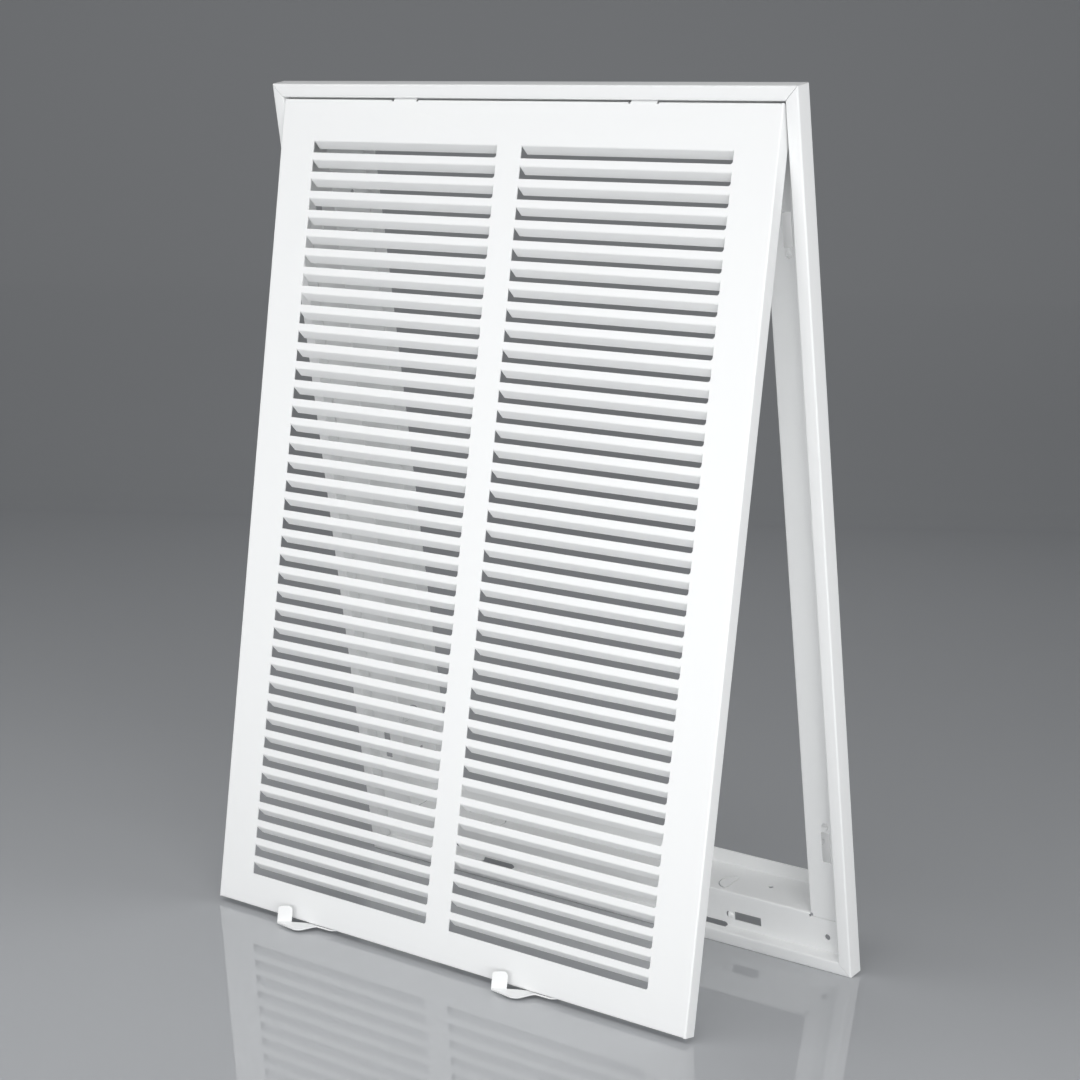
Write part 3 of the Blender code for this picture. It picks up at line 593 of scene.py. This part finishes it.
def make_member(name, length, turn, place, sizes, material):
    """One folded frame side with its holes, mitred at its ends."""
    bm = bmesh.new()
    verts = [bm.verts.new((-length / 2, w, a)) for a, w in member_profile(sizes.fold_steps)]
    edges = [bm.edges.new(pair) for pair in zip(verts, verts[1:])]
    geom = bmesh.ops.extrude_edge_only(bm, edges=edges)["geom"]
    bmesh.ops.translate(bm, verts=moved_verts(geom), vec=(length, 0.0, 0.0))
    bmesh.ops.recalc_face_normals(bm, faces=bm.faces)
    wall = min(bm.faces, key=lambda face: face.calc_center_median().z)
    if wall.normal.z > 0.0:
        bmesh.ops.reverse_faces(bm, faces=bm.faces)
    member = open_sheet(name, bm)
    thicken(member, SHEET)
    mitre = SEAM_GAP / math.sqrt(2)
    longest = RIM_WIDTH + FOLD_REMNANT + SEAM_GAP
    for vert in member.data.vertices:
        trim = min(vert.co.z + mitre, longest)
        vert.co.x = math.copysign(length / 2 - trim, vert.co.x)
    long_member = length == FRAME_HEIGHT
    holes, relief = member_cutters(length, long_member)
    subtract(member, holes)
    subtract(member, collar_cutters(length))
    if long_member:
        relief.free()
    else:
        subtract(member, relief)
    if name == "side_bottom":
        slots = bmesh.new()
        for x in LATCH_SLOT_CENTRES:
            outline = stadium(x, LATCH_SLOT_LOW, LATCH_SLOT_HIGH, LATCH_SLOT_LENGTH)
            add_prism(slots, outline, LATCH_SLOT_FRONT, STEP_DEPTH + CUT_THROUGH)
        subtract(member, slots)
    if name == "side_top":
        slots = bmesh.new()
        half = HINGE_TAB_WIDTH / 2 + HINGE_TAB_GAP
        for x in HINGE_TAB_CENTRES:
            outline = rectangle(-x - half, -x + half, RIM_WIDTH - 2 * SHEET, RIM_WIDTH + SHEET)
            add_prism(slots, outline, HINGE_SLOT_FRONT, HINGE_SLOT_BACK)
        subtract(member, slots)
    add_hoods(member, length, CLIP_SLOT_EDGE_LONG if long_member else CLIP_SLOT_EDGE_SHORT)
    member.data.transform(
        FRAME_MATRIX @ Matrix.Translation(place) @ Matrix.Rotation(turn, 4, "Y"))
    replaced = name.replace("side", "frame")
    finish_piece(member, "frame", replaced, material, sizes.cut_edge)


def extrude(bm, edges, vec):
    """Draw edges out by a vector and return the new edges."""
    geom = bmesh.ops.extrude_edge_only(bm, edges=edges)["geom"]
    kept = set(moved_verts(geom))
    bmesh.ops.translate(bm, verts=list(kept), vec=vec)
    edges = [item for item in geom if isinstance(item, bmesh.types.BMEdge)]
    return [edge for edge in edges if edge.verts[0] in kept and edge.verts[1] in kept]


def door_blank(louvres):
    """The flat sheet with a window for each louvre; Z is 0 at its top edge."""
    edge = DOOR_WIDTH / 2 - DOOR_FOLD_RADIUS
    slit_end = DOOR_WIDTH / 2 - SLIT_SIDE_MARGIN
    half = [MULLION_WIDTH / 2, slit_end, edge - CORNER_STRIP, edge]
    columns = [-x for x in reversed(half)] + half
    rows = [0.0, DOOR_FOLD_RADIUS]
    for row in range(louvres):
        slit = FIRST_SLIT_EDGE + row * LOUVRE_PITCH
        rows += [slit - SLIT_HEIGHT, slit]
    rows += [DOOR_HEIGHT - DOOR_FOLD_RADIUS, DOOR_HEIGHT]
    across = len(columns) - 1
    down = len(rows) - 1
    bm = bmesh.new()
    bmesh.ops.create_grid(bm, x_segments=across, y_segments=down, size=0.5)
    spots = {}
    for vert in bm.verts:
        column = round((vert.co.x + 0.5) * across)
        row = round((0.5 - vert.co.y) * down)
        vert.co = (columns[column], 0.0, -rows[row])
        spots[vert] = (column, row)
    windows = []
    for face in bm.faces:
        column = min(spots[vert][0] for vert in face.verts)
        row = min(spots[vert][1] for vert in face.verts)
        # Columns 2 and 4 hold the louvres, and from row 2 on every other row is a slit
        in_edge_row = row in (0, down - 1) and 0 < column < across - 1
        in_slit = column in (2, 4) and row >= 2 and row % 2 == 0 and row < down - 1
        if in_edge_row or in_slit:
            windows.append(face)
    bmesh.ops.delete(bm, geom=windows, context="FACES")
    return bm


def round_slit_corners(bm, louvres, radius):
    """Fill the lower right corner of each louvre's window with a small round."""
    slit_end = DOOR_WIDTH / 2 - SLIT_SIDE_MARGIN
    lows = [FIRST_SLIT_EDGE + row * LOUVRE_PITCH for row in range(louvres)]
    corners = []
    for vert in bm.verts:
        right_side = min(abs(vert.co.x - slit_end), abs(vert.co.x + MULLION_WIDTH / 2)) < NEAR
        if right_side and min(abs(-vert.co.z - low) for low in lows) < NEAR:
            corners.append(vert)
    for corner in corners:
        ends = {}
        for edge in list(corner.link_edges):
            if edge.is_boundary:
                way = edge.other_vert(corner).co - corner.co
                share = radius / way.length
                ends["up" if way.z > NEAR else "left"] = bmesh.utils.edge_split(
                    edge, corner, share)[1]
        centre = (corner.co.x - radius, corner.co.z + radius)
        bow = arc(centre, radius, 0, -90, SLIT_CORNER_SEGMENTS)[1:-1]
        bend = [bm.verts.new((x, 0.0, z)) for x, z in bow]
        bm.faces.new([corner, ends["up"]] + bend + [ends["left"]])


def bend_blades(bm, sizes):
    """Draw each louvre blade from its fold, curving back behind the sheet."""
    folds = [FIRST_SLIT_EDGE - SLIT_HEIGHT + row * LOUVRE_PITCH for row in range(sizes.louvres)]
    edges = []
    for edge in bm.edges:
        first, second = edge.verts
        if edge.is_boundary and abs(first.co.z - second.co.z) < NEAR:
            if min(abs(-first.co.z - fold) for fold in folds) < NEAR:
                edges.append(edge)
    radius = sizes.slit_corner
    middle = (MULLION_WIDTH / 2 + DOOR_WIDTH / 2 - SLIT_SIDE_MARGIN) / 2
    turn = sizes.blade_lean / sizes.fold_steps
    strips = [(sizes.blade_fold * turn, turn * (part + 0.5)) for part in range(sizes.fold_steps)]
    flat = SLIT_HEIGHT - radius - sizes.blade_fold * sizes.blade_lean
    strips.append((flat, sizes.blade_lean))
    strips += [(radius / ROUND_STEPS, sizes.blade_lean)] * ROUND_STEPS
    done = 0.0
    trimmed = 0.0
    for part, (length, angle) in enumerate(strips):
        vec = Vector((0.0, length * math.sin(angle), -length * math.cos(angle)))
        edges = extrude(bm, edges, vec)
        done += length
        into_round = max(done - (SLIT_HEIGHT - radius), 0.0)
        trim = radius - math.sqrt(max(radius ** 2 - into_round ** 2, 0.0))
        trim = min(trim, ROUND_SHARE * radius)
        for vert in {vert for edge in edges for vert in edge.verts}:
            centre = math.copysign(middle, vert.co.x)
            side = math.copysign(1.0, vert.co.x - centre)
            if part == 0:
                vert.co.x -= side * BLADE_END_GAP
            if side > 0.0:
                vert.co.x -= trim - trimmed
        trimmed = trim


def fold_flange(bm, edges, outward, segments):
    """Turn a flange back round a small radius; outward points away from the door."""
    for part in range(segments):
        start = math.pi / 2 * part / segments
        end = math.pi / 2 * (part + 1) / segments
        out = DOOR_FOLD_RADIUS * (math.sin(end) - math.sin(start))
        back = DOOR_FOLD_RADIUS * (math.cos(start) - math.cos(end))
        edges = extrude(bm, edges, Vector(outward) * out + Vector((0.0, back, 0.0)))
    extrude(bm, edges, Vector((0.0, DOOR_FLANGE - DOOR_FOLD_RADIUS, 0.0)))


def boundary_between(bm, z, x_low, x_high):
    """The boundary edges at one height that lie between two distances across."""
    found = []
    for edge in bm.edges:
        first, second = edge.verts
        level = abs(first.co.z - z) < NEAR and abs(second.co.z - z) < NEAR
        left, right = sorted((first.co.x, second.co.x))
        if level and edge.is_boundary and left > x_low - NEAR and right < x_high + NEAR:
            found.append(edge)
    return found


def split_boundary(bm, z, x):
    """Put a vertex into the boundary edge that runs past a place."""
    for edge in boundary_between(bm, z, -DOOR_WIDTH, DOOR_WIDTH):
        first, second = edge.verts
        left, right = sorted((first.co.x, second.co.x))
        if left + NEAR < x < right - NEAR:
            share = (x - first.co.x) / (second.co.x - first.co.x)
            bmesh.utils.edge_split(edge, first, share)
            return


def make_door(sizes, material):
    """The louvred door, folded from one sheet."""
    bm = door_blank(sizes.louvres)
    round_slit_corners(bm, sizes.louvres, sizes.slit_corner)
    bend_blades(bm, sizes)
    edge = DOOR_WIDTH / 2 - DOOR_FOLD_RADIUS
    end = edge - CORNER_STRIP - SEAM_GAP
    top = -DOOR_FOLD_RADIUS
    bottom = DOOR_FOLD_RADIUS - DOOR_HEIGHT
    for side in (-1.0, 1.0):
        border = []
        for item in bm.edges:
            if item.is_boundary and all(abs(v.co.x - side * edge) < NEAR for v in item.verts):
                border.append(item)
        fold_flange(bm, border, (side, 0.0, 0.0), sizes.fold_steps)
    # The stops come in fours: a flange's start and end, then a tab's start and end
    stops = [-end]
    for centre in HINGE_TAB_CENTRES:
        half = HINGE_TAB_WIDTH / 2
        stops += [centre - half - HINGE_TAB_GAP, centre - half]
        stops += [centre + half, centre + half + HINGE_TAB_GAP]
    stops.append(end)
    for x in stops:
        split_boundary(bm, top, x)
    for x in (-end, end):
        split_boundary(bm, bottom, x)
    for low, high in zip(stops[0::4], stops[1::4]):
        fold_flange(bm, boundary_between(bm, top, low, high), (0.0, 0.0, 1.0), sizes.fold_steps)
    for low, high in zip(stops[2::4], stops[3::4]):
        tab = boundary_between(bm, top, low, high)
        tab = extrude(bm, tab, Vector((0.0, HINGE_TAB_SETBACK, HINGE_JOG_LENGTH)))
        extrude(bm, tab, Vector((0.0, 0.0, HINGE_TAB_REACH - top - HINGE_JOG_LENGTH)))
    fold_flange(
        bm, boundary_between(bm, bottom, -end, end), (0.0, 0.0, -1.0), sizes.fold_steps)
    bmesh.ops.recalc_face_normals(bm, faces=bm.faces)
    if sum(face.normal.y * face.calc_area() for face in bm.faces) > 0.0:
        bmesh.ops.reverse_faces(bm, faces=bm.faces)
    place = (0.0, -HINGE_AXIS_DEPTH, HINGE_AXIS_DROP)
    bmesh.ops.translate(bm, verts=bm.verts, vec=place)
    door = open_sheet("louvred_door", bm)
    thicken(door, SHEET)
    door.data.transform(DOOR_MATRIX)
    finish_piece(door, "door", "door_panel", material, sizes.cut_edge)


def lever_outline(inner, outer):
    """Flat outline of a latch lever without its tab, whose foot has these two ends."""
    eye = arc((0.0, 0.0), LEVER_EYE_RADIUS, *LEVER_EYE_RIGHT, EYE_RIGHT_SEGMENTS)
    hook = TONGUE_LENGTH - HOOK_LENGTH
    tongue = [
        (TONGUE_HALF_WIDTH, TONGUE_LENGTH), (-HOOK_REACH, TONGUE_LENGTH),
        (-HOOK_REACH, hook), (-TONGUE_HALF_WIDTH, hook)]
    eye_left = arc((0.0, 0.0), LEVER_EYE_RADIUS, *LEVER_EYE_LEFT, EYE_LEFT_SEGMENTS)
    leg = [(-LEVER_LEG_LEFT, LEVER_SHOULDER), (-LEVER_LEG_LEFT, -LEVER_BEND_LINE)]
    corner = arc(
        LEVER_CORNER_CENTRE, LEVER_CORNER_RADIUS, *LEVER_CORNER_TURN, LEVER_CORNER_SEGMENTS)
    throat = [(-LEVER_LEG_RIGHT, -LEVER_BEND_LINE)]
    return [inner.to_tuple(), outer.to_tuple()] + corner + throat + eye + tongue + eye_left + leg


def bend_arm(bm, slope, steps):
    """Bend the lever's front down round a line across it, in small steps."""
    place = Vector((0.0, -LEVER_BEND_LINE, 0.0))
    way = Vector((0.0, -1.0, 0.0))
    turn = Matrix.Rotation(slope / steps, 3, "X")
    for _ in range(steps):
        geom = bm.verts[:] + bm.edges[:] + bm.faces[:]
        bmesh.ops.bisect_plane(bm, geom=geom, plane_co=place, plane_no=way)
        front = [vert for vert in bm.verts if (vert.co - place).dot(way) > NEAR]
        bmesh.ops.rotate(bm, verts=front, cent=place, matrix=turn)
        way = turn @ way
        place = place + way * LEVER_BEND_STEP


def raise_finger(bm, inner, outer, slope, steps):
    """Fold the finger tab up from its foot and round its two top corners."""
    up = Vector((0.0, 0.0, 1.0))
    along = (outer.co - inner.co).normalized()
    flat = Matrix.Rotation(slope, 3, "X") @ up
    out = flat.cross(along)
    if out.y < 0.0:
        out = -out
    rise = (up - out * out.dot(up)).normalized()
    fold = out.angle(up)
    foot = (inner.co.z + outer.co.z) / 2
    edges = [edge for edge in inner.link_edges if edge.other_vert(inner) is outer]
    for part in range(steps):
        turn = fold * (part + 0.5) / steps
        way = out * math.cos(turn) + rise * math.sin(turn)
        edges = extrude(bm, edges, way * FINGER_FOLD * fold / steps)
    done = sum(vert.co.z for vert in edges[0].verts) / 2 - foot
    edges = extrude(bm, edges, up * (FINGER_HEIGHT - done))
    tops = sorted(edges[0].verts, key=lambda vert: -vert.co.x)
    for vert, radius in zip(tops, FINGER_CORNERS):
        bmesh.ops.bevel(
            bm, geom=[vert], offset=radius, offset_type="OFFSET",
            segments=FINGER_CORNER_SEGMENTS, profile=0.5, affect="VERTICES", material=-1)


def make_lever(side, centre, sizes, material):
    """One latch lever: a flat eye and hooked tongue, an arm sloping down and a finger tab."""
    outer = Vector(FINGER_FOOT)
    along = Vector((math.cos(FINGER_ANGLE), math.sin(FINGER_ANGLE)))
    back = Vector((along.y, -along.x)) * FINGER_FOLD
    bm = bmesh.new()
    outline = lever_outline(outer + along * FINGER_WIDTH + back, outer + back)
    verts = [bm.verts.new((x, y, 0.0)) for x, y in outline]
    bm.faces.new(verts)
    bend_arm(bm, sizes.lever_slope, sizes.fold_steps)
    raise_finger(bm, *verts[:2], sizes.lever_slope, sizes.fold_steps)
    bmesh.ops.recalc_face_normals(bm, faces=bm.faces)
    flat = max(bm.faces, key=lambda face: face.calc_center_median().y)
    if flat.normal.z < 0.0:
        bmesh.ops.reverse_faces(bm, faces=bm.faces)
    lever = open_sheet("finger_latch_" + side, bm)
    thicken(lever, LEVER_SHEET)
    hole = RIVET_RADIUS + RIVET_CLEARANCE
    depth = RIVET_FLARE_HEIGHT + 2 * RIVET_CLEARANCE
    mouth = hole + RIVET_FLARE * depth / RIVET_FLARE_HEIGHT
    low = -LEVER_SHEET - RIVET_CLEARANCE + depth / 2
    for radius, length, z in ((hole, RIVET_HOLE_DEPTH, 0.0), (mouth, depth, low)):
        bm = bmesh.new()
        bmesh.ops.create_cone(
            bm, cap_ends=True, segments=ROUND_SEGMENTS, radius1=radius, radius2=hole,
            depth=length, matrix=Matrix.Translation((0.0, 0.0, z)))
        subtract(lever, bm)
    lever.data.transform(latch_matrix(centre))
    finish_piece(
        lever, side + "_latch", "latch_lever_" + side, material, sizes.cut_edge)


def latch_matrix(centre):
    """Place of a latch's pivot, at the top of its lever."""
    place = (centre, LATCH_PIVOT_DEPTH - HINGE_AXIS_DEPTH, LEVER_TOP)
    return DOOR_MATRIX @ Matrix.Translation(place)


def make_rivet(side, centre, material):
    """A rivet with a domed head inside the door and a flared end in the lever."""
    seat = LEVER_GAP + SHEET + RIVET_CLEARANCE
    dome = arc((0.0, 0.0), 1.0, 90, 0, RIVET_DOME_SEGMENTS)
    profile = [(RIVET_HEAD_RADIUS * x, seat + RIVET_HEAD_HEIGHT * z) for x, z in dome]
    profile += [
        (RIVET_RADIUS, seat), (RIVET_RADIUS, RIVET_FLARE_HEIGHT - LEVER_SHEET),
        (RIVET_RADIUS + RIVET_FLARE, -LEVER_SHEET), (0.0, -LEVER_SHEET)]
    bm = bmesh.new()
    verts = [bm.verts.new((x, 0.0, z)) for x, z in profile]
    edges = [bm.edges.new(pair) for pair in zip(verts, verts[1:])]
    bmesh.ops.spin(
        bm, geom=verts + edges, cent=(0.0, 0.0, 0.0), axis=(0.0, 0.0, 1.0),
        angle=2 * math.pi, steps=ROUND_SEGMENTS, use_merge=True)
    bmesh.ops.remove_doubles(bm, verts=bm.verts, dist=NEAR)
    bmesh.ops.recalc_face_normals(bm, faces=bm.faces)
    rivet = open_sheet("dome_rivet_" + side, bm)
    rivet.data.transform(latch_matrix(centre))
    finish_piece(rivet, "door", "latch_rivet_" + side, material, 0.0)


class GrilleDoor(bpy.types.Operator):
    """Fold the louvred door"""

    bl_idname = "grille.door"
    bl_label = "Louvred door"

    def execute(self, context):
        looks = context.scene.grille_looks
        material = enamel_material(
            "sprayed_powder_enamel_door", linear(looks.enamel), DOOR_ROUGHNESS)
        make_door(context.scene.grille_sizes, material)
        return {"FINISHED"}


class GrilleFrame(bpy.types.Operator):
    """Fold the four frame sides"""

    bl_idname = "grille.frame"
    bl_label = "Frame sides"

    def execute(self, context):
        looks = context.scene.grille_looks
        sizes = context.scene.grille_sizes
        material = enamel_material(
            "sprayed_powder_enamel_frame", linear(looks.enamel), FRAME_ROUGHNESS)
        half_width = FRAME_WIDTH / 2
        half_height = FRAME_HEIGHT / 2
        sides = (
            ("side_bottom", FRAME_WIDTH, 0.0, (0.0, 0.0, 0.0)),
            ("side_top", FRAME_WIDTH, math.pi, (0.0, 0.0, FRAME_HEIGHT)),
            ("side_right", FRAME_HEIGHT, -math.pi / 2, (half_width, 0.0, half_height)),
            ("side_left", FRAME_HEIGHT, math.pi / 2, (-half_width, 0.0, half_height)),
        )
        for name, length, turn, place in sides:
            make_member(name, length, turn, place, sizes, material)
        return {"FINISHED"}


class GrilleLatches(bpy.types.Operator):
    """Bend the latch levers and turn their rivets"""

    bl_idname = "grille.latches"
    bl_label = "Latches"

    def execute(self, context):
        looks = context.scene.grille_looks
        material = enamel_material(
            "sprayed_powder_enamel_latch", linear(looks.enamel), LATCH_ROUGHNESS)
        for side, centre in LATCH_CENTRES:
            make_lever(side, centre, context.scene.grille_sizes, material)
            make_rivet(side, centre, material)
        return {"FINISHED"}


class GrilleStage(bpy.types.Operator):
    """Set up the floor, the lamps and the camera"""

    bl_idname = "grille.stage"
    bl_label = "Stage"

    def execute(self, context):
        looks = context.scene.grille_looks
        make_floor(looks)
        make_lamps(looks)
        make_camera()
        context.scene.view_settings.view_transform = "Standard"
        return {"FINISHED"}


def make_floor(looks):
    """A pale floor that curves up into a backdrop."""
    bm = bmesh.new()
    corners = [(FLOOR_FRONT, 0.0), (FLOOR_BACK, 0.0), (FLOOR_BACK, BACKDROP_HEIGHT)]
    path = rounded_path(corners, (BACKDROP_CURVE,), BACKDROP_STEPS)
    verts = [bm.verts.new((-FLOOR_WIDTH / 2, y, z)) for y, z in path]
    edges = [bm.edges.new(pair) for pair in zip(verts, verts[1:])]
    geom = bmesh.ops.extrude_edge_only(bm, edges=edges)["geom"]
    bmesh.ops.translate(bm, verts=moved_verts(geom), vec=(FLOOR_WIDTH, 0.0, 0.0))
    bmesh.ops.recalc_face_normals(bm, faces=bm.faces)
    if sum(face.normal.z for face in bm.faces) < 0.0:
        bmesh.ops.reverse_faces(bm, faces=bm.faces)
    turn = Matrix.Rotation(FLOOR_TURN, 3, "Z")
    bmesh.ops.rotate(bm, verts=bm.verts, cent=(0.0, 0.0, 0.0), matrix=turn)
    floor = open_sheet("studio_floor", bm)
    # Glossy painted board: plain and pale, with a clear mirror image of what stands on it
    material, tree, output = new_material("painted_studio_board")
    shader = add_node(
        tree, "ShaderNodeBsdfPrincipled",
        values={
            "Base Color": (*linear(looks.floor), 1.0), "Roughness": FLOOR_ROUGHNESS,
            "IOR": FLOOR_IOR})
    tree.links.new(shader.outputs["BSDF"], output.inputs["Surface"])
    paint(floor, material)


def make_lamp(name, place, target, size, power, spread):
    """A large soft lamp that faces a point; a narrow spread keeps its light off the rest."""
    lamp = bpy.data.lights.new(name + "_lamp", "AREA")
    lamp.shape = "RECTANGLE"
    lamp.size, lamp.size_y = size
    lamp.energy = power
    lamp.spread = math.radians(spread)
    obj = bpy.data.objects.new(name + "_lamp", lamp)
    bpy.context.scene.collection.objects.link(obj)
    obj.visible_camera = False
    # The glossy floor would show the other lamps as bright patches
    obj.visible_glossy = name == MIRRORED_LAMP
    obj.location = place
    way = Vector(target) - Vector(place)
    obj.rotation_euler = way.to_track_quat("-Z", "Y").to_euler()


def make_lamps(looks):
    """The six lamps, each with its power from the looks, and an even room."""
    for name, place, target, size, spread in LAMPS:
        make_lamp(name, place, target, size, getattr(looks, name + "_power"), spread)
    world = bpy.data.worlds.new("studio_room")
    world.use_nodes = True
    background = world.node_tree.nodes["Background"]
    background.inputs["Color"].default_value = ROOM_COLOUR
    background.inputs["Strength"].default_value = looks.world_strength
    bpy.context.scene.world = world


def make_camera():
    """The camera at the photograph's viewing angle."""
    reach = math.cos(CAMERA_PITCH)
    forward = Vector((
        -math.sin(CAMERA_YAW) * reach, math.cos(CAMERA_YAW) * reach, -math.sin(CAMERA_PITCH)))
    level = Vector((math.cos(CAMERA_YAW), math.sin(CAMERA_YAW), 0.0))
    upright = level.cross(forward)
    right = level * math.cos(CAMERA_ROLL) + upright * math.sin(CAMERA_ROLL)
    up = upright * math.cos(CAMERA_ROLL) - level * math.sin(CAMERA_ROLL)
    camera = bpy.data.cameras.new("camera")
    camera.lens = CAMERA_LENS
    camera.sensor_width = CAMERA_SENSOR
    camera.shift_x, camera.shift_y = CAMERA_SHIFT
    camera.dof.use_dof = False
    obj = bpy.data.objects.new("camera", camera)
    bpy.context.scene.collection.objects.link(obj)
    turn = Matrix((right, up, -forward)).transposed()
    obj.matrix_world = Matrix.Translation(CAMERA_PLACE) @ turn.to_4x4()
    bpy.context.scene.camera = obj


class GrillePanel(bpy.types.Panel):
    """The grille's sizes, colours and buttons"""

    bl_idname = "VIEW3D_PT_grille"
    bl_label = "Return air filter grille"
    bl_space_type = "VIEW_3D"
    bl_region_type = "UI"
    bl_category = "Grille"

    def draw(self, context):
        for group in (context.scene.grille_sizes, context.scene.grille_looks):
            box = self.layout.box()
            for name in group.__annotations__:
                box.prop(group, name)
        for operator in OPERATORS:
            self.layout.operator(operator.bl_idname)


OPERATORS = (GrilleFrame, GrilleDoor, GrilleLatches, GrilleStage)
CLASSES = (GrilleSizes, GrilleLooks, *OPERATORS, GrillePanel)


def register():
    """Add the classes and their settings to Blender."""
    for cls in CLASSES:
        bpy.utils.register_class(cls)
    bpy.types.Scene.grille_sizes = PointerProperty(type=GrilleSizes)
    bpy.types.Scene.grille_looks = PointerProperty(type=GrilleLooks)


def unregister():
    """Take the settings and the classes away again."""
    del bpy.types.Scene.grille_looks
    del bpy.types.Scene.grille_sizes
    for cls in reversed(CLASSES):
        bpy.utils.unregister_class(cls)


def main():
    """Build the grille and its stage."""
    register()
    bpy.ops.grille.frame()
    bpy.ops.grille.door()
    bpy.ops.grille.latches()
    bpy.ops.grille.stage()


if __name__ == "__main__":
    main()
